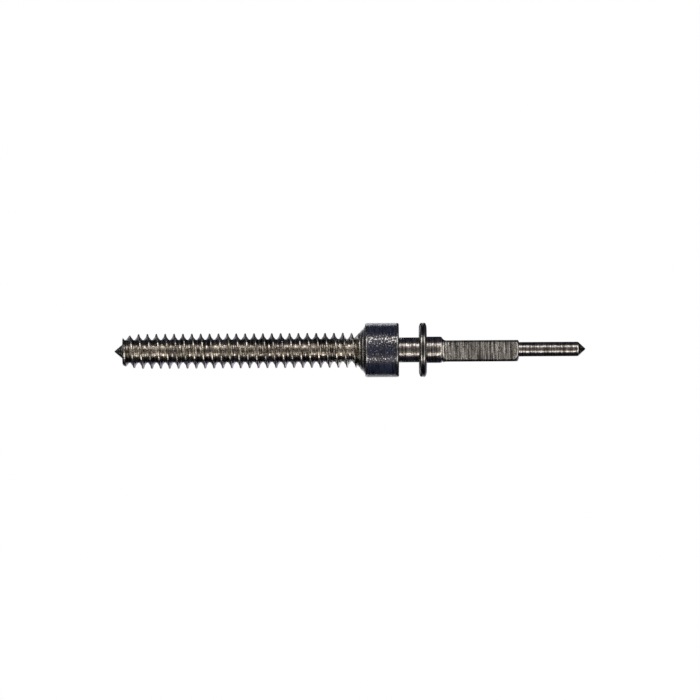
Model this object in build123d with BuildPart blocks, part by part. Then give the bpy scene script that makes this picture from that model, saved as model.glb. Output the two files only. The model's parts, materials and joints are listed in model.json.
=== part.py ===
"""Winding stem of a small mechanical watch: a turned steel shaft that carries two pressed rings.

Everything turned lies on the X axis. The crown end points to -X and the pilot to +X. X = 0 is the
crown-side face of the bearing collar, and the origin is on the axis there.
"""

from build123d import *
from math import ceil
import os

os.makedirs("parts", exist_ok=True)

# Crown end: a lathe point, then the thread that the crown screws onto
point_base_d = 0.365
point_tip_d = 0.02
point_len = 0.20
thread_d = 0.885
thread_root_d = 0.578
thread_pitch = 0.225
thread_len = 5.86
thread_crest = 0.024  # width of the flat left on the crests
thread_gap = 0.06  # width of the bottom between two turns
thread_crest_back = 0.56  # a crest stands upright this far in front of the collar
lead_in_d = 0.62  # the thread starts this wide and grows to its full diameter
lead_in_len = 0.40
lead_in_bulge = 0.02

# Conical shoulder that the thread runs onto, in front of the collar
shoulder_large_d = 1.216
shoulder_len = 0.285

# Bearing collar: the ring that runs in the main plate
collar_d = 1.376
collar_len = 0.859
collar_wall = 0.258
collar_chamfer = 0.02

# Neck: the groove for the nose of the setting lever
neck_d = 0.631
neck_len = 0.507

# Flange: the thin disc that closes the groove
flange_d = 1.37
flange_t = 0.198
flange_step = 0.0425  # its hidden seat stands this much above the pinion seat, all round
flange_flat_d = 1.10  # both faces are flat out to here, then they round towards the rim
flange_land = 0.075  # width of the straight band left on the rim

# Seat of the winding pinion
seat_d = 0.665
seat_len = 0.39
seat_chamfer = 0.03

# Square of the sliding pinion, which lies a little low on this stem
square_flats = 0.54  # across the flats
square_blank_d = 0.69  # the round that the flats are milled on
square_len = 1.945
square_drop = 0.034  # how far its centre line lies under the shaft's axis
square_runout_r = 0.06  # the milling cutter leaves this radius where the flats stop
square_end_land = 0.01  # width of the flat face left round the pilot
square_end_round_r = 0.183

# Pilot, which runs in its hole at the centre of the movement
pilot_d = 0.365
pilot_len = 1.51
pilot_tip_d = 0.02

# Places along the axis
shoulder_start = -shoulder_len
thread_start = shoulder_start - thread_len
point_tip = thread_start - point_len
neck_start = collar_len
flange_start = neck_start + neck_len
flange_end = flange_start + flange_t
seat_end = flange_end + seat_len
square_end = seat_end + square_len
pilot_end = square_end + pilot_len
pilot_point_len = (pilot_d - pilot_tip_d) / 2  # a point of 90 degrees

# The hidden seats of the two rings, which grow towards the crown so that both slide on from the pilot
collar_bore_d = collar_d - 2 * collar_wall
flange_bore_d = seat_d + 2 * flange_step

# The thread's outside diameter meets the cone here, and its ridge ends inside the cone
shoulder_slope = (shoulder_large_d - thread_root_d) / shoulder_len
thread_on_shoulder = shoulder_start + (thread_d - thread_root_d) / shoulder_slope
ridge_end = thread_on_shoulder / 2

# The ridge is swept from whole turns in front of its upright crest, past the thread's front face
ridge_turns = ceil((thread_len + shoulder_len - thread_crest_back) / thread_pitch) + 1
ridge_start = -thread_crest_back - ridge_turns * thread_pitch

# Cutters reach this far past what they cut
overrun = seat_d / 4


def turned_outline():
    """Half outline of the shaft without its thread and square, from tip to tip."""
    Polyline(
        (point_tip, 0),
        (point_tip, point_tip_d / 2),
        (thread_start, point_base_d / 2),
        (thread_start, thread_root_d / 2),
        (shoulder_start, thread_root_d / 2),
        (0, shoulder_large_d / 2),
        (0, collar_bore_d / 2),
        (neck_start, collar_bore_d / 2),
        (neck_start, neck_d / 2),
        (flange_start, neck_d / 2),
        (flange_start, flange_bore_d / 2),
        (flange_end, flange_bore_d / 2),
        (flange_end, seat_d / 2),
        (seat_end - seat_chamfer, seat_d / 2),
        (seat_end, seat_d / 2 - seat_chamfer),
        (seat_end, pilot_d / 2),
        (pilot_end, pilot_d / 2),
        (pilot_end + pilot_point_len, pilot_tip_d / 2),
        (pilot_end + pilot_point_len, 0),
        close=True,
    )


def ridge_outline():
    """One turn of the thread in section, about its own middle, with a foot sunk into the core."""
    half_foot = (thread_pitch - thread_gap) / 2
    half_crest = thread_crest / 2
    root = thread_root_d / 2
    Polyline(
        (half_foot, root),
        (half_crest, thread_d / 2),
        (-half_crest, thread_d / 2),
        (-half_foot, root),
        (-half_foot, root - thread_gap),
        (half_foot, root - thread_gap),
        close=True,
    )


def ridge_limits():
    """Half outline of the round that the ridge is turned down to: a bulged lead-in, then clear air."""
    lead_in_start = (thread_start, lead_in_d / 2)
    lead_in_end = (thread_start + lead_in_len, thread_d / 2 + thread_crest)
    outside = thread_d / 2 + overrun
    SagittaArc(lead_in_start, lead_in_end, lead_in_bulge)
    Polyline(
        lead_in_end,
        (thread_start + lead_in_len, outside),
        (ridge_end, outside),
        (ridge_end, 0),
        (thread_start, 0),
        lead_in_start,
    )


# Thread: one ridge along a helix
with BuildPart() as crown_thread:
    with BuildLine():
        helix = Helix(
            pitch=thread_pitch,
            height=-ridge_start,
            radius=thread_root_d / 2,
            center=(ridge_start, 0, 0),
            direction=(1, 0, 0),
        )
    with BuildSketch(Plane.XZ.shift_origin((ridge_start, 0, 0))):
        with BuildLine():
            ridge_outline()
        make_face()
    sweep(path=helix, is_frenet=True)
    with BuildSketch(Plane.XZ):
        with BuildLine():
            ridge_limits()
        make_face()
    revolve(axis=Axis.X, mode=Mode.INTERSECT)

with BuildPart() as stem_shaft:
    # Turning: one revolve gives every round of the shaft but the square's blank
    with BuildSketch(Plane.XZ):
        with BuildLine():
            turned_outline()
        make_face()
    revolve(axis=Axis.X)

    # Blank of the square, on its own centre line
    with BuildSketch(Plane.YZ.offset(seat_end)):
        with Locations((0, -square_drop)):
            Circle(square_blank_d / 2)
    extrude(amount=square_len)

    # The blank's near end is turned away at 45 degrees, so that it starts inside the seat's chamfer
    with BuildSketch(Plane.XZ):
        with BuildLine():
            low = seat_d / 2 - seat_chamfer
            Polyline(
                (seat_end, low), (seat_end + overrun, low + overrun), (seat_end, low + overrun), close=True
            )
        make_face()
    revolve(axis=Axis.X, mode=Mode.SUBTRACT)

    # Milling: four flats, each with the cutter's radius where it stops short of the seat
    for quarter in range(4):
        side = Plane.XZ.rotated((90 * quarter, 0, 0))
        side.origin = (seat_end, 0, -square_drop)
        with BuildSketch(side):
            with BuildLine():
                flat = square_flats / 2
                top = square_blank_d / 2 + overrun
                cutter = JernArc((square_runout_r, flat), (-1, 0), square_runout_r, -90)
                Polyline(cutter @ 1, (0, top), (square_len, top), (square_len, flat), cutter @ 0)
            make_face()
        extrude(amount=seat_d, both=True, mode=Mode.SUBTRACT)

    # The far end of the square is rounded on the lathe, about the shaft's own axis
    with BuildSketch(Plane.XZ):
        with BuildLine():
            inner = pilot_d / 2 + square_end_land
            outer = inner + square_end_round_r
            corner = JernArc((square_end, inner), (0, 1), square_end_round_r, 90)
            Polyline(
                corner @ 1,
                (square_end - square_end_round_r, outer + overrun),
                (square_end, outer + overrun),
                corner @ 0,
            )
        make_face()
    revolve(axis=Axis.X, mode=Mode.SUBTRACT)

    add(crown_thread.part)

with BuildPart() as bearing_collar:
    with BuildSketch(Plane.XZ):
        with BuildLine():
            Polyline(
                (0, collar_bore_d / 2),
                (0, collar_d / 2 - collar_chamfer),
                (collar_chamfer, collar_d / 2),
                (collar_len - collar_chamfer, collar_d / 2),
                (collar_len, collar_d / 2 - collar_chamfer),
                (collar_len, collar_bore_d / 2),
                close=True,
            )
        make_face()
    revolve(axis=Axis.X)

with BuildPart() as lever_flange:
    with BuildSketch(Plane.XZ):
        with BuildLine():
            middle = (flange_start + flange_end) / 2
            land_start = (middle - flange_land / 2, flange_d / 2)
            land_end = (middle + flange_land / 2, flange_d / 2)
            near_edge = (flange_start, flange_flat_d / 2)
            far_edge = (flange_end, flange_flat_d / 2)
            TangentArc(near_edge, land_start, tangent=(0, 1))
            Line(land_start, land_end)
            TangentArc(far_edge, land_end, tangent=(0, 1))
            Polyline(
                far_edge, (flange_end, flange_bore_d / 2), (flange_start, flange_bore_d / 2), near_edge
            )
        make_face()
    revolve(axis=Axis.X)

stem_shaft.part.label = "stem_shaft"
bearing_collar.part.label = "bearing_collar"
lever_flange.part.label = "lever_flange"
for piece in (stem_shaft, bearing_collar, lever_flange):
    export_step(piece.part, f"parts/{piece.part.label}.step")
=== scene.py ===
"""Winding stem of a small mechanical watch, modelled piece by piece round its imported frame.

Every piece is modelled in millimetres about the X axis, with the crown end at -X and the pilot at
+X, and is scaled to metres when it is finished.
"""

import json
from math import acos, asin, cos, degrees, exp, hypot, pi, radians, sin, sqrt, tan

import bmesh
import bpy
from bpy.props import FloatProperty, FloatVectorProperty, PointerProperty
from mathutils import Matrix, Vector


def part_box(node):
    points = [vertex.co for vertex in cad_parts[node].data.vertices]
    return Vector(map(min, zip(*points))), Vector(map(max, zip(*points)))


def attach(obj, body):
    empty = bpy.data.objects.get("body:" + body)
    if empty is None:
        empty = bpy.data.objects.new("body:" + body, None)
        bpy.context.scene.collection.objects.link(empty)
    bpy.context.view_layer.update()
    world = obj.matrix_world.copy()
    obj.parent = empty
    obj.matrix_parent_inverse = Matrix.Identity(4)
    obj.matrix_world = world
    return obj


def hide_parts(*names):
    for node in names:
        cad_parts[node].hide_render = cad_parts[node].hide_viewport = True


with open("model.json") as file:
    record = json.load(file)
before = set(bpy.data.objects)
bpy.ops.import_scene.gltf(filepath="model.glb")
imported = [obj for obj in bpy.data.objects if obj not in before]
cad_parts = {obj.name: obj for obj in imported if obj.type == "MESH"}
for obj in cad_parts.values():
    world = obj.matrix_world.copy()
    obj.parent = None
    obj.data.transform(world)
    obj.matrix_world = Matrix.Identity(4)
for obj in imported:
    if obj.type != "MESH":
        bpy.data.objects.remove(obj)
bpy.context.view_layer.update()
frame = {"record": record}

bl_info = {
    "name": "Watch winding stem",
    "version": (1, 0, 0),
    "blender": (4, 5, 0),
    "location": "View3D > Sidebar > Stem",
    "description": "Models a winding stem with its thread, collar, disc, square and pilot",
    "category": "Object",
}

MM = 0.001
MERGE = 0.0004  # millimetres; points nearer than this become one
TURNED_STEPS = 160  # faces round a turned piece
THREAD_STEPS = 72  # faces round one turn of the thread
ARC_STEPS = 10  # edges in a rounding of a turned outline
SHARP_ANGLE = radians(12)
BREAK_RADIUS = 0.1  # the turned edges are broken with this radius
BARE_BREAK_LEAN = 24  # degrees; how far the gentle break of an edge leans on bare steel
COLLAR_BREAK_LEAN = 15  # degrees; the collar's edges are broken less
WORN_LEANS = (1, 16)  # degrees; between these leans the skin is worn off the edges of the rings
WORN_ROUGHNESS = 0.12  # an edge that is rubbed bright

mounts = {mount["name"]: mount for mount in frame["record"]["mounts"]}
collar_low, collar_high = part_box("bearing_collar")
disc_low, disc_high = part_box("lever_flange")


def mount_size(name, size):
    """A size of one of the frame's mounts, in metres."""
    return mounts[name]["dims"][size] * MM


def linear(hex_colour):
    """The linear values that shaders take, of a colour written as sRGB hex."""
    channels = [int(hex_colour[i : i + 2], 16) / 255 for i in (0, 2, 4)]
    return tuple(c / 12.92 if c <= 0.04045 else ((c + 0.055) / 1.055) ** 2.4 for c in channels)


class StemSizes(bpy.types.PropertyGroup):
    """Sizes that a watchmaker would change"""

    thread_radius: FloatProperty(
        name="Thread radius", description="Outside radius of the crown thread",
        default=mount_size("crown_thread", "r_mm"), unit="LENGTH", precision=6,
    )
    thread_root: FloatProperty(
        name="Thread root", description="Radius at the bottom of the thread",
        default=0.289 * MM, unit="LENGTH", precision=6,
    )
    thread_pitch: FloatProperty(
        name="Thread pitch", description="Distance from one crest to the next",
        default=0.225 * MM, unit="LENGTH", precision=6,
    )
    crest_width: FloatProperty(
        name="Crest width", description="Width of the land left on the crests",
        default=0.026 * MM, unit="LENGTH", precision=6,
    )
    blade_width: FloatProperty(
        name="Blade width", description="Width of the thread where its slim blade meets its foot",
        default=0.068 * MM, unit="LENGTH", precision=6,
    )
    root_width: FloatProperty(
        name="Root width", description="Width of the flat bottom between two crests",
        default=0.036 * MM, unit="LENGTH", precision=6,
    )
    point_radius: FloatProperty(
        name="Point radius", description="Radius of the lathe point where it leaves the thread",
        default=0.1825 * MM, unit="LENGTH", precision=6,
    )
    point_length: FloatProperty(
        name="Point length", description="Length of the lathe point at the crown end",
        default=0.2 * MM, unit="LENGTH", precision=6,
    )
    cone_radius: FloatProperty(
        name="Cone radius", description="Largest radius of the conical shoulder",
        default=0.608 * MM, unit="LENGTH", precision=6,
    )
    collar_bore: FloatProperty(
        name="Collar bore", description="Radius of the seat that the collar is pressed on",
        default=0.43 * MM, unit="LENGTH", precision=6,
    )
    disc_bore: FloatProperty(
        name="Disc bore", description="Radius of the seat that the disc is pressed on",
        default=0.375 * MM, unit="LENGTH", precision=6,
    )
    disc_flat: FloatProperty(
        name="Disc flat", description="Radius where the faces of the disc start to round",
        default=0.55 * MM, unit="LENGTH", precision=6,
    )
    disc_land: FloatProperty(
        name="Disc land", description="Width of the rim of the disc before its edges are rounded",
        default=0.112 * MM, unit="LENGTH", precision=6,
    )
    disc_rim: FloatProperty(
        name="Disc rim", description="Radius of the rounding on the edges of the rim",
        default=0.045 * MM, unit="LENGTH", precision=6,
    )
    square_flats: FloatProperty(
        name="Square", description="Size of the square across its flats",
        default=0.54 * MM, unit="LENGTH", precision=6,
    )
    square_corner: FloatProperty(
        name="Square corner", description="Radius of the round that the square is milled from",
        default=0.345 * MM, unit="LENGTH", precision=6,
    )
    runout: FloatProperty(
        name="Cutter run-out", description="Radius that the cutter leaves where the flats stop",
        default=0.1 * MM, unit="LENGTH", precision=6,
    )
    square_end_face: FloatProperty(
        name="End face", description="Radius of the flat face at the far end of the square",
        default=0.1925 * MM, unit="LENGTH", precision=6,
    )
    square_end_round: FloatProperty(
        name="End rounding", description="Radius turned on the far end of the square",
        default=0.183 * MM, unit="LENGTH", precision=6,
    )


class StemFinishes(bpy.types.PropertyGroup):
    """Colours of the metals"""

    turned: FloatVectorProperty(
        name="Turned steel", description="Bare steel as it leaves the lathe",
        default=linear("D0CFD2"), subtype="COLOR", min=0, max=1,
    )
    threaded: FloatVectorProperty(
        name="Threaded steel", description="Steel of the thread, browned a little by its oil",
        default=linear("DEDBD7"), subtype="COLOR", min=0, max=1,
    )
    milled: FloatVectorProperty(
        name="Milled steel", description="Steel of the flats",
        default=linear("A3A4A6"), subtype="COLOR", min=0, max=1,
    )
    blackened: FloatVectorProperty(
        name="Blackened steel", description="Blue-black skin of the collar",
        default=linear("2A3046"), subtype="COLOR", min=0, max=1,
    )
    hardened: FloatVectorProperty(
        name="Hardened steel", description="Grey skin of the disc",
        default=linear("5E6064"), subtype="COLOR", min=0, max=1,
    )
    worn: FloatVectorProperty(
        name="Worn edges", description="Steel where the skin of the collar has worn thin",
        default=linear("A0A1A3"), subtype="COLOR", min=0, max=1,
    )


def sizes():
    """The stem's sizes in millimetres, by name."""
    group = bpy.context.scene.stem_sizes
    return {name: getattr(group, name) / MM for name in StemSizes.__annotations__}


def finish_colour(name):
    """One of the colours of the metals."""
    return tuple(getattr(bpy.context.scene.stem_finishes, name))


# Places along the axis, in millimetres from the collar's crown-side face
THREAD_START = mounts["crown_thread"]["pos_m"][0] / MM
CONE_START = THREAD_START + mounts["crown_thread"]["dims"]["length_mm"]
COLLAR_END = collar_high.x / MM
DISC_START = disc_low.x / MM
DISC_END = disc_high.x / MM
PILOT_END = mounts["pilot"]["pos_m"][0] / MM + mounts["pilot"]["dims"]["length_mm"] / 2
SQUARE_END = PILOT_END - mounts["pilot"]["dims"]["length_mm"]
SEAT_END = SQUARE_END - mounts["clutch_square"]["dims"]["length_mm"]
SQUARE_DROP = -mounts["clutch_square"]["pos_m"][2] / MM

COLLAR_RADIUS = collar_high.z / MM
DISC_RADIUS = disc_high.z / MM
NECK_RADIUS = mounts["lever_groove"]["dims"]["r_mm"]
SEAT_RADIUS = mounts["pinion_seat"]["dims"]["r_mm"]
PILOT_RADIUS = mounts["pilot"]["dims"]["r_mm"]
TIP_RADIUS = 0.01


# Modelling


def chain(bm, points):
    """A chain of edges through points given as (place on the axis, radius)."""
    verts = [bm.verts.new((x, 0, r)) for x, r in points]
    return verts + [bm.edges.new(pair) for pair in zip(verts, verts[1:])]


def turn(bm, points):
    """Turns a half outline about the X axis, as a lathe does."""
    bmesh.ops.spin(
        bm, geom=chain(bm, points), cent=(0, 0, 0), axis=(1, 0, 0), dvec=(0, 0, 0),
        angle=2 * pi, steps=TURNED_STEPS, use_merge=True,
    )
    bmesh.ops.remove_doubles(bm, verts=bm.verts, dist=MERGE)


def arc(centre, radius, start, end, steps=ARC_STEPS):
    """Points of an arc in an outline, from one angle to another in degrees."""
    angles = [radians(start + (end - start) * i / steps) for i in range(steps + 1)]
    return [(centre[0] + radius * cos(a), centre[1] + radius * sin(a)) for a in angles]


def broken_edge(end, radius, lean, small, last=0):
    """Outline of a turned edge: broken gently up to a lean in degrees, then rounded small.

    The small rounding ends where it faces last degrees out from the axis, and 0 is the end face.
    """
    turned = radians(90 - lean)
    reach = BREAK_RADIUS - small
    x = end - small - reach * cos(turned)
    y = radius - BREAK_RADIUS
    gentle = arc((x, y), BREAK_RADIUS, 90, 90 - lean)
    return gentle + arc((x + reach * cos(turned), y + reach * sin(turned)), small, 90 - lean, last)[1:]


def radius_of(vert):
    """Distance of a point from the X axis."""
    return hypot(vert.co.y, vert.co.z)


def set_radius(vert, radius):
    """Moves a point straight out from the X axis, or in towards it."""
    factor = radius / max(radius_of(vert), MERGE)
    vert.co.y *= factor
    vert.co.z *= factor


def wear_edges(bm, least, most, bare=None):
    """Gives the second material to the faces whose lean in degrees shows that they are a worn edge.

    The faces between the two places that bare names aren't edges, and keep their material.
    """
    bm.normal_update()
    for face in bm.faces:
        lean = degrees(asin(min(abs(face.normal.x), 1)))
        inside = bare is not None and bare[0] < face.calc_center_median().x < bare[1]
        face.material_index = int(least < lean < most and not inside)


def extrude_rim(bm, rim):
    """Extrudes a rim in place and gives the new points and the new rim."""
    grown = bmesh.ops.extrude_edge_only(bm, edges=rim)["geom"]
    verts = [g for g in grown if isinstance(g, bmesh.types.BMVert)]
    edges = [g for g in grown if isinstance(g, bmesh.types.BMEdge) and g.is_boundary]
    return verts, edges


def finish_piece(bm, name, node, slot, *materials):
    """Writes a bmesh as a piece that rides on the stem and stands for a node of the frame."""
    bmesh.ops.remove_doubles(bm, verts=bm.verts, dist=MERGE)
    bmesh.ops.recalc_face_normals(bm, faces=bm.faces)
    bmesh.ops.scale(bm, vec=(MM, MM, MM), verts=bm.verts)
    mesh = bpy.data.meshes.new(name)
    bm.to_mesh(mesh)
    bm.free()
    mesh.shade_smooth()
    mesh.set_sharp_from_angle(angle=SHARP_ANGLE)
    for material in materials:
        mesh.materials.append(material)
    piece = bpy.data.objects.new(name, mesh)
    bpy.context.scene.collection.objects.link(piece)
    flat_shading = piece.modifiers.new("large faces stay flat", "WEIGHTED_NORMAL")
    flat_shading.keep_sharp = True
    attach(piece, "root")
    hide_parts(node)


# Materials. A pixel of the render is 0.025 mm of the stem, and the marks of the real tools are finer
# than that, so every pattern of marks is drawn a little coarser than the real one, enough to show.


def add_node(tree, kind, inputs=None, links=None, **settings):
    """Adds a node with its settings, its fixed inputs and the sockets that feed it."""
    node = tree.nodes.new(kind)
    for key, value in settings.items():
        setattr(node, key, value)
    for key, value in (inputs or {}).items():
        node.inputs[key].default_value = value
    for key, source in (links or {}).items():
        tree.links.new(source, node.inputs[key])
    return node


def start_material(name):
    """A new material with an empty node tree."""
    material = bpy.data.materials.new(name)
    material.use_nodes = True
    material.node_tree.nodes.clear()
    return material, material.node_tree


def worked_metal(name, colour, roughness, marks, grain):
    """A metal with the marks of the tool that shaped it and a grain over them.

    Marks and grain are noises, each given as (size, depth, reach): their size across and the depth
    that they are cut or raised by, in millimetres, and how many times longer they are round the
    stem. Gives the material, its tree, its shader and the two patterns.
    """
    material, tree = start_material(name)
    shader = add_node(
        tree, "ShaderNodeBsdfPrincipled",
        {"Metallic": 1.0, "Base Color": (*colour, 1), "Roughness": roughness},
    )
    add_node(tree, "ShaderNodeOutputMaterial", links={"Surface": shader.outputs["BSDF"]})
    place = add_node(tree, "ShaderNodeTexCoord").outputs["Object"]
    patterns = []
    normal = {}
    for size_mm, depth_mm, reach in (marks, grain):
        across = 1 / (size_mm * MM)
        scaled = add_node(
            tree, "ShaderNodeMapping", {"Scale": (across, across / reach, across / reach)}, {"Vector": place}
        )
        pattern = add_node(
            tree, "ShaderNodeTexNoise", {"Scale": 1.0}, {"Vector": scaled.outputs["Vector"]}
        )
        height = pattern.outputs["Fac"]
        raised = add_node(
            tree, "ShaderNodeBump", {"Strength": 1.0, "Distance": depth_mm * MM}, {"Height": height, **normal}
        )
        normal = {"Normal": raised.outputs["Normal"]}
        patterns.append(pattern)
    tree.links.new(normal["Normal"], shader.inputs["Normal"])
    return material, tree, shader, *patterns


def shade(tree, colour, *levels):
    """A colour made lighter or darker by each level, given as (pattern, (its range), (its shades))."""
    shaded = None
    for pattern, (low, high), (shade_low, shade_high) in levels:
        level = add_node(
            tree, "ShaderNodeMapRange",
            {"From Min": low, "From Max": high, "To Min": shade_low, "To Max": shade_high},
            {"Value": pattern},
        )
        scaled = add_node(
            tree, "ShaderNodeVectorMath", {0: colour}, {"Scale": level.outputs["Result"]}, operation="SCALE"
        )
        if shaded is not None:
            tree.links.new(shaded, scaled.inputs[0])
        shaded = scaled.outputs["Vector"]
    return shaded


def turned_steel(name, colour, roughness, speck_mm, speck_depth, speck_shade):
    """Bare steel from the lathe: bright, ringed by the tool and dotted with small dull specks.

    The rings break the light along a cylinder into short dashes, and the specks take the shine off
    in places, as handling and dried oil do. A real tool leaves a ring about every 0.01 mm.
    """
    material, tree, shader, rings, specks = worked_metal(
        name, colour, roughness, marks=(0.035, 0.005, 14), grain=(speck_mm, speck_depth, 1)
    )
    colour_map = shade(
        tree, colour,
        (specks.outputs["Fac"], (0.36, 0.47), (speck_shade, 1.0)),
        (rings.outputs["Fac"], (0.4, 0.56), (0.3, 1.0)),
    )
    tree.links.new(colour_map, shader.inputs["Base Color"])
    return material


def milled_steel(name, colour):
    """Steel cut across by a milling cutter: upright streaks, and a painted highlight beside the seat.

    The streaks make the flats look combed. Real cutter marks are 0.01 mm wide or less. The first
    0.3 mm beside the seat has its colour made lighter, a painted highlight.
    """
    painted_highlight_length, painted_highlight_shade = 0.3, 1.6  # painted highlight: how much lighter the colour is right beside the seat
    material, tree, shader, streaks, specks = worked_metal(
        name, colour, 0.3, marks=(0.022, 0.014, 26), grain=(0.035, 0.005, 1)
    )
    streaks.inputs["Detail"].default_value = 1.0  # a cutter's streaks are plainer than turned rings
    place = add_node(tree, "ShaderNodeTexCoord").outputs["Object"]
    along = add_node(tree, "ShaderNodeSeparateXYZ", links={"Vector": place}).outputs["X"]
    colour_map = shade(
        tree, colour,
        (specks.outputs["Fac"], (0.36, 0.46), (0.35, 1.0)),
        (streaks.outputs["Fac"], (0.42, 0.58), (0.35, 1.5)),
        (along, (SEAT_END * MM, (SEAT_END + painted_highlight_length) * MM), (painted_highlight_shade, 1.0)),
    )
    tree.links.new(colour_map, shader.inputs["Base Color"])
    return material


def blackened_steel(name, colour):
    """Hardened and blackened steel: a blue-black skin, worn through to bright steel in small flecks.

    The skin is an oxide, which mirrors light weakly, and the steel in the flecks is a full metal, so
    the collar looks dark with a glitter on it. The flecks lie closer on its upper side, a painted
    highlight that makes that side brighter. Its real turning marks are about 0.01 mm apart.
    """
    fleck_colour = linear("D4D8E0")
    upper_highlight_reach = 0.3 * MM  # the worn flecks, and the painted highlight they make on the upper side, change from this far under the axis to this far over it
    material, tree, shader, rings, grains = worked_metal(
        name, colour, 0.16, marks=(0.03, 0.004, 12), grain=(0.03, 0.006, 1.4)
    )
    skin = shade(tree, colour, (rings.outputs["Fac"], (0.4, 0.6), (0.55, 1.6)))

    # Grains that stand high enough are worn: dull metal first, then bright. Fewer are on the underside:
    # painted light that makes the upper side brighter than the lower
    place = add_node(tree, "ShaderNodeTexCoord").outputs["Object"]
    height = add_node(tree, "ShaderNodeSeparateXYZ", links={"Vector": place}).outputs["Z"]
    wear_and_painted_highlight = add_node(
        tree, "ShaderNodeMapRange",
        {"From Min": -upper_highlight_reach, "From Max": upper_highlight_reach, "To Min": -0.09, "To Max": 0.018},
        {"Value": height},
    )
    flecks = add_node(
        tree, "ShaderNodeMath", links={0: grains.outputs["Fac"], 1: wear_and_painted_highlight.outputs["Result"]}, operation="ADD"
    ).outputs["Value"]
    worn = add_node(tree, "ShaderNodeMapRange", {"From Min": 0.54, "From Max": 0.57}, {"Value": flecks})
    bright = add_node(tree, "ShaderNodeMapRange", {"From Min": 0.565, "From Max": 0.61}, {"Value": flecks})
    flecked = add_node(
        tree, "ShaderNodeMix", {"B": (*fleck_colour, 1)}, {"Factor": bright.outputs["Result"], "A": skin},
        data_type="RGBA",
    )
    tree.links.new(flecked.outputs["Result"], shader.inputs["Base Color"])
    tree.links.new(worn.outputs["Result"], shader.inputs["Metallic"])
    return material


def hardened_steel(name, colour, roughness):
    """Hardened steel, left grey and a little dull, with a trace of its turning.

    The fine grain makes the light on it waver instead of running in a hard line. With a lighter
    colour and less roughness it is also the steel of edges that are rubbed bright. Its real
    turning marks are about 0.01 mm apart.
    """
    return worked_metal(name, colour, roughness, marks=(0.04, 0.002, 20), grain=(0.05, 0.006, 1))[0]


# Pieces


class STEM_OT_threaded_end(bpy.types.Operator):
    """Model the crown end: the lathe point and the thread that the crown screws onto"""

    bl_idname = "stem.threaded_end"
    bl_label = "Threaded end"

    upright_crest = -0.56  # a crest stands straight up here
    lead_in_radius = 0.312
    lead_in_length = 0.463
    lead_in_power = 0.39  # less than 1 makes the lead-in bulge
    knee_share = 0.5  # the foot reaches up to here, as a share of the thread's depth
    hollow = 1.05  # more than 1 makes the foot hollow
    foot_steps = 8
    crest_break = (0.009, 0.0016)  # the crest's edges are broken by this width and depth
    point_edge = 0.006  # the edge at the point's foot is broken by this much
    back_overlap = 0.1  # the thread ends in the cone, this share of a pitch in front of the collar

    def thread_profile(self, size):
        """One pitch of the thread as (distance from the crest's middle, radius): a blade on a wide foot."""
        depth = size["thread_radius"] - size["thread_root"]
        foot = (size["thread_pitch"] - size["root_width"] - size["blade_width"]) / 2
        half_crest = size["crest_width"] / 2
        right = [
            (half_crest - self.crest_break[0], size["thread_radius"]),
            (half_crest, size["thread_radius"] - self.crest_break[1]),
        ]
        for i in range(self.foot_steps + 1):
            share = i / self.foot_steps
            height = self.knee_share * (1 - share) ** self.hollow
            right.append((size["blade_width"] / 2 + foot * share, size["thread_root"] + depth * height))
        right.append((size["thread_pitch"] / 2, size["thread_root"]))
        return [(-x, r) for x, r in reversed(right)] + right

    def lead_in(self, x, size):
        """Largest radius that the lead-in leaves at a place on the axis."""
        share = min(max(x - THREAD_START, 0) / self.lead_in_length, 1)
        return self.lead_in_radius + (size["thread_radius"] - self.lead_in_radius) * share**self.lead_in_power

    def execute(self, context):
        # Whole turns are laid from in front of the thread's face to past the cone, then cut off
        size = sizes()
        pitch = size["thread_pitch"]
        turns_before = int((self.upright_crest - THREAD_START) / pitch) + 2
        turns_after = int(-self.upright_crest / pitch) + 2
        first = self.upright_crest - turns_before * pitch
        bm = bmesh.new()
        bmesh.ops.spin(
            bm, geom=chain(bm, [(first + x, r) for x, r in self.thread_profile(size)]),
            cent=(0, 0, 0), axis=(1, 0, 0), dvec=(pitch / THREAD_STEPS, 0, 0),
            angle=2 * pi, steps=THREAD_STEPS,
        )
        one_turn = bm.verts[:] + bm.edges[:] + bm.faces[:]
        for number in range(1, turns_before + turns_after):
            copied = bmesh.ops.duplicate(bm, geom=one_turn)["geom"]
            verts = [g for g in copied if isinstance(g, bmesh.types.BMVert)]
            bmesh.ops.translate(bm, verts=verts, vec=(pitch * number, 0, 0))
        bmesh.ops.remove_doubles(bm, verts=bm.verts, dist=MERGE)
        for vert in bm.verts:
            set_radius(vert, min(radius_of(vert), self.lead_in(vert.co.x, size)))

        # The front face runs in to the lathe point, and the back closes inside the cone
        back = -pitch * self.back_overlap
        for place, outer in ((THREAD_START, False), (back, True)):
            bmesh.ops.bisect_plane(
                bm, geom=bm.verts[:] + bm.edges[:] + bm.faces[:], dist=MERGE,
                plane_co=(place, 0, 0), plane_no=(1, 0, 0), clear_outer=outer, clear_inner=not outer,
            )
        open_edges = [edge for edge in bm.edges if edge.is_boundary]
        rims = {
            place: [edge for edge in open_edges if abs(edge.verts[0].co.x - place) < MERGE]
            for place in (THREAD_START, back)
        }
        bmesh.ops.holes_fill(bm, edges=rims[back], sides=0)
        rim = rims[THREAD_START]
        for x, radius in (
            (THREAD_START, size["point_radius"] + self.point_edge),
            (THREAD_START - self.point_edge / 3, size["point_radius"]),
            (THREAD_START - self.point_edge, size["point_radius"] - self.point_edge),
            (THREAD_START - size["point_length"], TIP_RADIUS),
        ):
            verts, rim = extrude_rim(bm, rim)
            for vert in verts:
                set_radius(vert, radius)
                vert.co.x = x
        bmesh.ops.holes_fill(bm, edges=rim, sides=0)
        steel = turned_steel(
            "threaded_steel", finish_colour("threaded"), roughness=0.11,
            speck_mm=0.05, speck_depth=0.008, speck_shade=0.3,
        )
        finish_piece(bm, "threaded_end", "stem_shaft", "turned_steel", steel)
        return {"FINISHED"}


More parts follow.
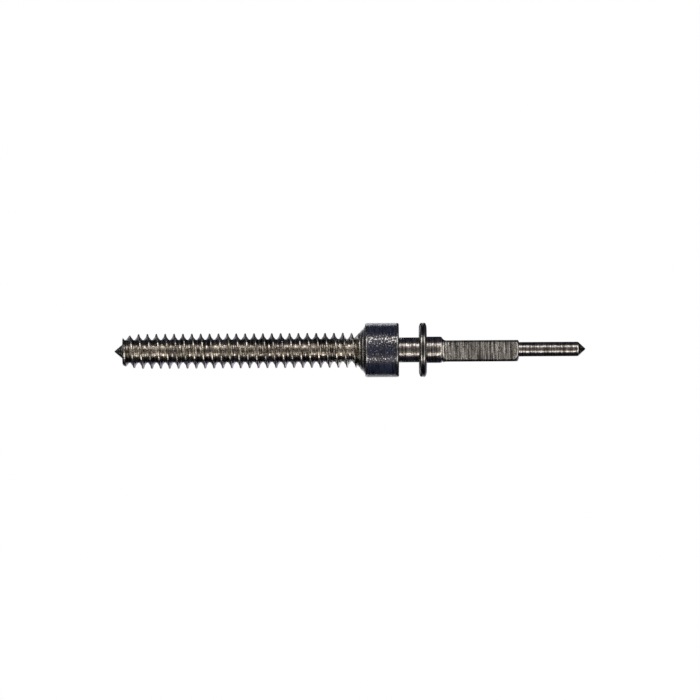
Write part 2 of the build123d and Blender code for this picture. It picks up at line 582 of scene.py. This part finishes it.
class STEM_OT_conical_shoulder(bpy.types.Operator):
    """Model the conical shoulder that the last turns of the thread run onto"""

    bl_idname = "stem.conical_shoulder"
    bl_label = "Conical shoulder"

    groove_places = (-0.128, -0.046)
    groove_depth = 0.014
    groove_width = 0.010
    sunk = 0.02  # the cone's thin end starts this far inside the thread
    outline_steps = 60

    def execute(self, context):
        size = sizes()
        slope = (size["cone_radius"] - size["thread_root"]) / -CONE_START
        start = CONE_START - self.sunk
        outline = [(start, 0)]
        for i in range(self.outline_steps + 1):
            x = start * (1 - i / self.outline_steps)
            grooves = sum(exp(-(((x - g) / self.groove_width) ** 2)) for g in self.groove_places)
            outline.append((x, size["cone_radius"] + slope * x - self.groove_depth * grooves))
        outline.append((0, 0))
        bm = bmesh.new()
        turn(bm, outline)
        steel = turned_steel(
            "shoulder_steel", finish_colour("threaded"), roughness=0.16,
            speck_mm=0.045, speck_depth=0.007, speck_shade=0.4,
        )
        finish_piece(bm, "conical_shoulder", "stem_shaft", "turned_steel", steel)
        return {"FINISHED"}


class STEM_OT_plain_shaft(bpy.types.Operator):
    """Model the turned middle: both hidden seats, the lever groove and the pinion seat"""

    bl_idname = "stem.plain_shaft"
    bl_label = "Plain shaft"

    edge_round = 0.03

    def execute(self, context):
        size = sizes()
        outline = [(0, 0), (0, size["collar_bore"]), (COLLAR_END, size["collar_bore"])]
        outline += [(COLLAR_END, NECK_RADIUS), (DISC_START, NECK_RADIUS)]
        outline += [(DISC_START, size["disc_bore"]), (DISC_END, size["disc_bore"])]
        outline += [(DISC_END, SEAT_RADIUS)]
        outline += broken_edge(SEAT_END, SEAT_RADIUS, BARE_BREAK_LEAN, self.edge_round)
        outline += [(SEAT_END, 0)]
        bm = bmesh.new()
        turn(bm, outline)
        steel = turned_steel(
            "shaft_steel", finish_colour("turned"), roughness=0.12,
            speck_mm=0.045, speck_depth=0.005, speck_shade=0.5,
        )
        finish_piece(bm, "plain_shaft", "stem_shaft", "turned_steel", steel)
        return {"FINISHED"}


class STEM_OT_clutch_square(bpy.types.Operator):
    """Model the milled square of the sliding pinion"""

    bl_idname = "stem.clutch_square"
    bl_label = "Clutch square"

    flat_columns = 12
    corner_columns = 8
    least_flat = 4  # degrees; a flat is at least this wide, to each side of its middle
    edge_round = 0.045
    edge_steps = 8
    edge_leans = (8, 38)  # degrees; between these leans the edges of the flats are rubbed bright
    relief = 0.04  # the blank's near end is turned away to this far under the seat's surface
    ridge_round = 0.045  # how far the ridge between that and the cutter's run-out is rounded off
    ridge_width = 0.045
    stations = 33  # places along the near end where the section is worked out
    station_gap = 0.0035

    def half_flats(self, x, size):
        """Distance of the flats from the square's centre line, which grows where the cutter runs out."""
        into = size["runout"] - (x - SEAT_END)
        if into <= 0:
            return size["square_flats"] / 2
        return size["square_flats"] / 2 + size["runout"] - sqrt(max(size["runout"] ** 2 - into**2, 0))

    def section(self, x, size):
        """Points round the square at a place on its axis: four flats and the round left between them."""
        half = min(self.half_flats(x, size), size["square_corner"] * cos(radians(self.least_flat)))
        flat_angle = acos(half / size["square_corner"])
        points = []
        for quarter in range(4):
            facing = Matrix.Rotation(quarter * pi / 2, 2)
            for i in range(self.flat_columns):
                across = half * tan(flat_angle) * (2 * i / self.flat_columns - 1)
                points.append(facing @ Vector((half, across)))
            for i in range(self.corner_columns):
                angle = flat_angle + (pi / 2 - 2 * flat_angle) * i / self.corner_columns
                points.append(facing @ Vector((cos(angle), sin(angle))) * size["square_corner"])
        return [(y, z - SQUARE_DROP) for y, z in points]

    def rounded_ridge(self, flank, chamfer):
        """The smaller of two radii, with the ridge rounded off where the two surfaces meet."""
        overlap = max(self.ridge_round - abs(flank - chamfer), 0)
        return min(flank, chamfer) - overlap**2 / (4 * self.ridge_round)

    def end_outline(self, radius, size):
        """The far end of a line along the square: a small rounding, then the lathe's, as (depth, radius)."""
        face, turned = size["square_end_face"], size["square_end_round"]
        small = min(self.edge_round, radius - face)
        meet = asin((radius - small - face) / (turned - small))
        centre = (turned - (turned - small) * cos(meet), radius - small)
        edge = arc(centre, small, 90, 180 - degrees(meet), self.edge_steps)
        return edge + arc((turned, face), turned, 180 - degrees(meet), 180)[1:]

    def execute(self, context):
        size = sizes()
        bm = bmesh.new()
        column = bm.verts.layers.int.new("column")
        around = 4 * (self.flat_columns + self.corner_columns)
        verts = bmesh.ops.create_circle(bm, segments=around, radius=size["square_corner"])["verts"]
        rim = bm.edges[:]
        for i, vert in enumerate(verts):
            vert[column] = i
        for number in range(self.stations):
            x = SEAT_END + self.station_gap * number
            if number:
                verts, rim = extrude_rim(bm, rim)
            points = self.section(x, size)
            for vert in verts:
                vert.co = (x, *points[vert[column]])
                chamfer = SEAT_RADIUS - self.relief + x - SEAT_END
                set_radius(vert, self.rounded_ridge(radius_of(vert), chamfer))

        # The far end: every column ends in a small rounding and then follows the lathe's inwards
        ends = [self.end_outline(hypot(*point), size) for point in points]
        for number in range(len(ends[0])):
            verts, rim = extrude_rim(bm, rim)
            for vert in verts:
                depth, radius = ends[vert[column]][number]
                vert.co = (SQUARE_END - depth, *points[vert[column]])
                set_radius(vert, radius)
        bmesh.ops.holes_fill(bm, edges=[edge for edge in bm.edges if edge.is_boundary], sides=0)
        far_edge = SQUARE_END - size["square_end_round"]
        wear_edges(bm, *self.edge_leans, bare=(SEAT_END + self.ridge_width, far_edge))
        steel = milled_steel("milled_steel", finish_colour("milled"))
        edges = hardened_steel("worn_square_edge", finish_colour("turned"), WORN_ROUGHNESS)
        finish_piece(bm, "clutch_square", "stem_shaft", "turned_steel", steel, edges)
        return {"FINISHED"}


class STEM_OT_pilot(bpy.types.Operator):
    """Model the pilot and its point"""

    bl_idname = "stem.pilot"
    bl_label = "Pilot"

    edge_round = 0.005
    point_lean = 45  # degrees; the point's flank
    sunk = 0.02  # the pilot starts this far inside the square

    def execute(self, context):
        start = SQUARE_END - self.sunk
        tip = PILOT_END + PILOT_RADIUS - TIP_RADIUS
        outline = [(start, 0), (start, PILOT_RADIUS)]
        outline += broken_edge(PILOT_END, PILOT_RADIUS, BARE_BREAK_LEAN, self.edge_round, self.point_lean)
        outline += [(tip, TIP_RADIUS), (tip, 0)]
        bm = bmesh.new()
        turn(bm, outline)
        steel = turned_steel(
            "pilot_steel", finish_colour("turned"), roughness=0.1,
            speck_mm=0.045, speck_depth=0.004, speck_shade=0.4,
        )
        finish_piece(bm, "pilot", "stem_shaft", "turned_steel", steel)
        return {"FINISHED"}


class STEM_OT_bearing_collar(bpy.types.Operator):
    """Model the blackened collar that runs in the main plate"""

    bl_idname = "stem.bearing_collar"
    bl_label = "Bearing collar"

    edge_round = 0.045

    def execute(self, context):
        size = sizes()
        right = broken_edge(COLLAR_END, COLLAR_RADIUS, COLLAR_BREAK_LEAN, self.edge_round)
        left = [(COLLAR_END - x, r) for x, r in reversed(right)]
        outline = [(0, size["collar_bore"])] + left + right
        outline += [(COLLAR_END, size["collar_bore"]), (0, size["collar_bore"])]
        bm = bmesh.new()
        turn(bm, outline)
        wear_edges(bm, *WORN_LEANS)
        steel = blackened_steel("blackened_steel", finish_colour("blackened"))
        edges = hardened_steel("worn_collar_edge", finish_colour("worn"), WORN_ROUGHNESS)
        finish_piece(bm, "bearing_collar", "bearing_collar", "blackened_steel", steel, edges)
        return {"FINISHED"}


class STEM_OT_lever_flange(bpy.types.Operator):
    """Model the thin disc that closes the lever groove"""

    bl_idname = "stem.lever_flange"
    bl_label = "Lever flange"

    def execute(self, context):
        # Half of the disc's section about its middle: a flat, an arc to the rim, and the rim's rounding
        size = sizes()
        middle = (DISC_START + DISC_END) / 2
        half_face = (DISC_END - DISC_START) / 2
        into = half_face - size["disc_land"] / 2
        height = DISC_RADIUS - size["disc_flat"]
        shoulder = (into**2 + height**2) / (2 * into)
        sweep = asin(height / shoulder)
        rim = size["disc_rim"]
        back = rim * tan((pi / 2 - sweep) / 2)
        right = [(half_face, size["disc_bore"])]
        right += arc((half_face - shoulder, size["disc_flat"]), shoulder, 0, degrees(sweep - back / shoulder))
        right += arc((size["disc_land"] / 2 - back, DISC_RADIUS - rim), rim, degrees(sweep), 90)
        left = [(-x, r) for x, r in reversed(right)]
        outline = [(middle + x, r) for x, r in right + left + right[:1]]
        bm = bmesh.new()
        turn(bm, outline)
        wear_edges(bm, *WORN_LEANS)
        steel = hardened_steel("hardened_steel", finish_colour("hardened"), 0.2)
        edges = hardened_steel("worn_disc_edge", finish_colour("turned"), WORN_ROUGHNESS)
        finish_piece(bm, "lever_flange", "lever_flange", "hardened_steel", steel, edges)
        return {"FINISHED"}


class STEM_OT_stage(bpy.types.Operator):
    """Set the floor, the light and the camera"""

    bl_idname = "stem.stage"
    bl_label = "Stage"

    # The photograph, 700 pixels wide, and the camera that took it
    view_width = 17.735  # millimetres of the object across the photograph
    view_centre = (-0.380, 0.006)  # the point in the middle of the photograph, as X and Z
    camera_distance = 0.25  # metres
    camera_roll = -0.33  # degrees; the pilot's end sits a little higher
    # The light round the stem, as (degrees from the camera's side, colour)
    light_rings = (
        (0, (0.145, 0.131, 0.114)),
        (16, (0.17, 0.153, 0.134)),
        (26, (0.40, 0.355, 0.30)),
        (36, (0.90, 0.80, 0.68)),
        (41, (2.30, 2.07, 1.78)),
        (48, (2.30, 2.07, 1.78)),
        (55, (0.60, 0.54, 0.46)),
        (61, (0.12, 0.11, 0.10)),
        (76, (0.03, 0.03, 0.033)),
        (90, (0.016, 0.017, 0.021)),
        (180, (0.016, 0.017, 0.021)),
    )
    ring_tilt = 2.8  # degrees that the middle of the rings stands above the lens
    # Soft patches of light, as (direction, cosines where it starts and is full, colour): the ceiling,
    # three glimpses of paper behind that the thread's flanks see, and panels at both sides
    glows = (
        ((0, -0.4, 0.92), (0.2, 0.9), (0.026, 0.026, 0.034)),
        ((0.36, 0.88, -0.3), (0.90, 0.97), (0.56, 0.51, 0.62)),
        ((-0.34, 0.9, 0.27), (0.955, 0.985), (0.28, 0.27, 0.30)),
        ((-0.34, 0.9, -0.27), (0.955, 0.985), (0.28, 0.27, 0.30)),
        ((0.72, -0.28, 0.63), (0.906, 0.966), (0.55, 0.55, 0.55)),
        ((-0.72, -0.28, 0.63), (0.906, 0.966), (0.55, 0.55, 0.55)),
        ((0.72, -0.28, -0.63), (0.906, 0.966), (0.35, 0.35, 0.35)),
        ((-0.72, -0.28, -0.63), (0.906, 0.966), (0.35, 0.35, 0.35)),
        ((0.72, 0.62, 0.3), (0.85, 0.95), (0.05, 0.05, 0.05)),
        ((-0.72, 0.62, 0.3), (0.85, 0.95), (0.05, 0.05, 0.05)),
    )
    # Sizes in millimetres
    floor_width = 1200
    floor_gap = 0.002  # between the collar and the floor
    shadow_reach = 1.2
    card_distance = 1.0  # behind the axis
    card_height = 2.17  # over the axis, and as far under it
    card_reach = 1.4  # the collar's card starts this many cone lengths in front of the collar
    card_inset = 0.07  # the disc's card is this much narrower than the disc at each side
    flag_depth = (0.36, 1.4)  # the black flag reaches from here to here behind the axis

    def add_sheet(self, name, material, turned, size, place):
        """A sheet of paper or card, turned out of the level and then sized and placed."""
        bm = bmesh.new()
        bmesh.ops.create_grid(bm, x_segments=1, y_segments=1, size=0.5)
        bmesh.ops.transform(bm, matrix=turned, verts=bm.verts)
        bmesh.ops.scale(bm, vec=Vector(size) * MM, verts=bm.verts)
        bmesh.ops.translate(bm, verts=bm.verts, vec=Vector(place) * MM)
        mesh = bpy.data.meshes.new(name)
        bm.to_mesh(mesh)
        bm.free()
        mesh.materials.append(material)
        sheet = bpy.data.objects.new(name, mesh)
        bpy.context.scene.collection.objects.link(sheet)
        sheet.visible_diffuse = False
        return sheet

    def even_tone(self, name, strength):
        """Card that shows one tone to every side: gives its material, its tree and its light."""
        material, tree = start_material(name)
        tone = add_node(tree, "ShaderNodeEmission", {"Strength": strength})
        add_node(tree, "ShaderNodeOutputMaterial", links={"Surface": tone.outputs["Emission"]})
        return material, tree, tone

    def add_floor(self):
        """A pale floor under the collar: white to the camera, with a painted shade where the stem is near."""
        material, tree, tone = self.even_tone("pale_floor", 1.0)
        # Painted shade: ambient occlusion darkens the floor's own glow near the stem, and the floor fades
        # back to white where it is seen edge-on
        near = add_node(
            tree, "ShaderNodeAmbientOcclusion", {"Distance": self.shadow_reach * MM}, samples=16
        )
        facing = add_node(tree, "ShaderNodeLayerWeight", {"Blend": 0.5}).outputs["Facing"]
        level = add_node(
            tree, "ShaderNodeMix", {"B": 1.0}, {"Factor": facing, "A": near.outputs["AO"]}, data_type="FLOAT"
        )
        tree.links.new(level.outputs["Result"], tone.inputs["Strength"])
        size = (self.floor_width, self.floor_width, 1)
        place = (0, 0, collar_low.z / MM - self.floor_gap)
        floor = self.add_sheet("floor", material, Matrix.Identity(4), size, place)
        floor.visible_glossy = False

    def add_cards(self):
        """White cards behind the rings, which light their upper and lower edges, and a black flag.

        The flag stands between the two cards and keeps the light of the collar's card off the disc.
        """
        white = self.even_tone("white_card", 1.0)[0]
        black = self.even_tone("black_card", 0.0)[0]
        facing = Matrix.Rotation(radians(90), 4, "X")
        behind_collar = (CONE_START * self.card_reach, COLLAR_END)
        behind_disc = (DISC_START + self.card_inset, DISC_END - self.card_inset)
        for number, (start, end) in enumerate((behind_collar, behind_disc)):
            size = (end - start, 1, 2 * self.card_height)
            place = ((start + end) / 2, self.card_distance, 0)
            card = self.add_sheet(f"card_{number + 1}", white, facing, size, place)
            card.visible_camera = False
            card.visible_shadow = False

        across = Matrix.Rotation(radians(90), 4, "Y")
        start, end = self.flag_depth
        size = (1, end - start, 2 * self.card_height)
        place = ((COLLAR_END + DISC_START) / 2, (start + end) / 2, 0)
        flag = self.add_sheet("flag", black, across, size, place)
        flag.visible_camera = False
        flag.visible_shadow = False

    def add_light(self):
        """A ring of soft light round the lens, a dark room at the sides and white paper behind."""
        world = bpy.data.worlds.new("studio")
        world.use_nodes = True
        tree = world.node_tree
        tree.nodes.clear()
        direction = add_node(tree, "ShaderNodeTexCoord").outputs["Generated"]
        middle = (0, -cos(radians(self.ring_tilt)), sin(radians(self.ring_tilt)))
        facing = add_node(
            tree, "ShaderNodeVectorMath", {1: middle}, {0: direction}, operation="DOT_PRODUCT"
        )
        angle = add_node(tree, "ShaderNodeMath", links={0: facing.outputs["Value"]}, operation="ARCCOSINE")
        share = add_node(tree, "ShaderNodeMath", {1: pi}, {0: angle.outputs["Value"]}, operation="DIVIDE")
        rings = add_node(tree, "ShaderNodeValToRGB", links={"Fac": share.outputs["Value"]})
        stops = rings.color_ramp.elements
        while len(stops) < len(self.light_rings):
            stops.new(0.5)
        for stop, (degrees_out, colour) in zip(stops, self.light_rings):
            stop.position = degrees_out / 180
            stop.color = (*colour, 1)
        total = rings.outputs["Color"]
        for towards, (start, full), colour in self.glows:
            near = add_node(
                tree, "ShaderNodeVectorMath", {1: Vector(towards).normalized()}, {0: direction},
                operation="DOT_PRODUCT",
            )
            level = add_node(
                tree, "ShaderNodeMapRange", {"From Min": start, "From Max": full},
                {"Value": near.outputs["Value"]},
            )
            patch = add_node(
                tree, "ShaderNodeVectorMath", {0: colour}, {"Scale": level.outputs["Result"]},
                operation="SCALE",
            )
            added = add_node(
                tree, "ShaderNodeVectorMath", links={0: total, 1: patch.outputs["Vector"]}, operation="ADD"
            )
            total = added.outputs["Vector"]
        light = add_node(tree, "ShaderNodeBackground", links={"Color": total})
        paper = add_node(tree, "ShaderNodeBackground", {"Color": (1, 1, 1, 1)})
        seen = add_node(tree, "ShaderNodeLightPath").outputs["Is Camera Ray"]
        both = add_node(
            tree, "ShaderNodeMixShader",
            links={0: seen, 1: light.outputs["Background"], 2: paper.outputs["Background"]},
        )
        add_node(tree, "ShaderNodeOutputWorld", links={"Surface": both.outputs["Shader"]})
        bpy.context.scene.world = world

    def add_camera(self, context):
        """A camera with a long lens, square to the stem, as in the photograph."""
        camera = bpy.data.cameras.new("camera")
        camera.sensor_width = 36
        camera.lens = camera.sensor_width * self.camera_distance / (self.view_width * MM)
        camera.clip_start = 0.01
        camera.clip_end = 10
        holder = bpy.data.objects.new("camera", camera)
        context.scene.collection.objects.link(holder)
        x, z = self.view_centre
        place = Matrix.Translation((x * MM, -self.camera_distance, z * MM))
        turned = Matrix.Rotation(radians(90), 4, "X") @ Matrix.Rotation(radians(self.camera_roll), 4, "Z")
        holder.matrix_world = place @ turned
        context.scene.camera = holder

    def execute(self, context):
        self.add_floor()
        self.add_cards()
        self.add_light()
        self.add_camera(context)
        context.scene.view_settings.view_transform = "Standard"
        return {"FINISHED"}


OPERATORS = (
    STEM_OT_threaded_end,
    STEM_OT_conical_shoulder,
    STEM_OT_plain_shaft,
    STEM_OT_clutch_square,
    STEM_OT_pilot,
    STEM_OT_bearing_collar,
    STEM_OT_lever_flange,
    STEM_OT_stage,
)


class STEM_PT_panel(bpy.types.Panel):
    """Lists the pieces of the stem"""

    bl_idname = "STEM_PT_panel"
    bl_label = "Winding stem"
    bl_space_type = "VIEW_3D"
    bl_region_type = "UI"
    bl_category = "Stem"

    def draw(self, context):
        layout = self.layout
        for group in (context.scene.stem_sizes, context.scene.stem_finishes):
            box = layout.box()
            for name in group.__annotations__:
                box.prop(group, name)
        for operator in OPERATORS:
            layout.operator(operator.bl_idname)


CLASSES = (StemSizes, StemFinishes, *OPERATORS, STEM_PT_panel)


def register():
    for cls in CLASSES:
        bpy.utils.register_class(cls)
    bpy.types.Scene.stem_sizes = PointerProperty(type=StemSizes)
    bpy.types.Scene.stem_finishes = PointerProperty(type=StemFinishes)


def unregister():
    del bpy.types.Scene.stem_finishes
    del bpy.types.Scene.stem_sizes
    for cls in reversed(CLASSES):
        bpy.utils.unregister_class(cls)


def main():
    """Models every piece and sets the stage."""
    register()
    for operator in OPERATORS:
        family, name = operator.bl_idname.split(".")
        getattr(getattr(bpy.ops, family), name)()


if __name__ == "__main__":
    main()
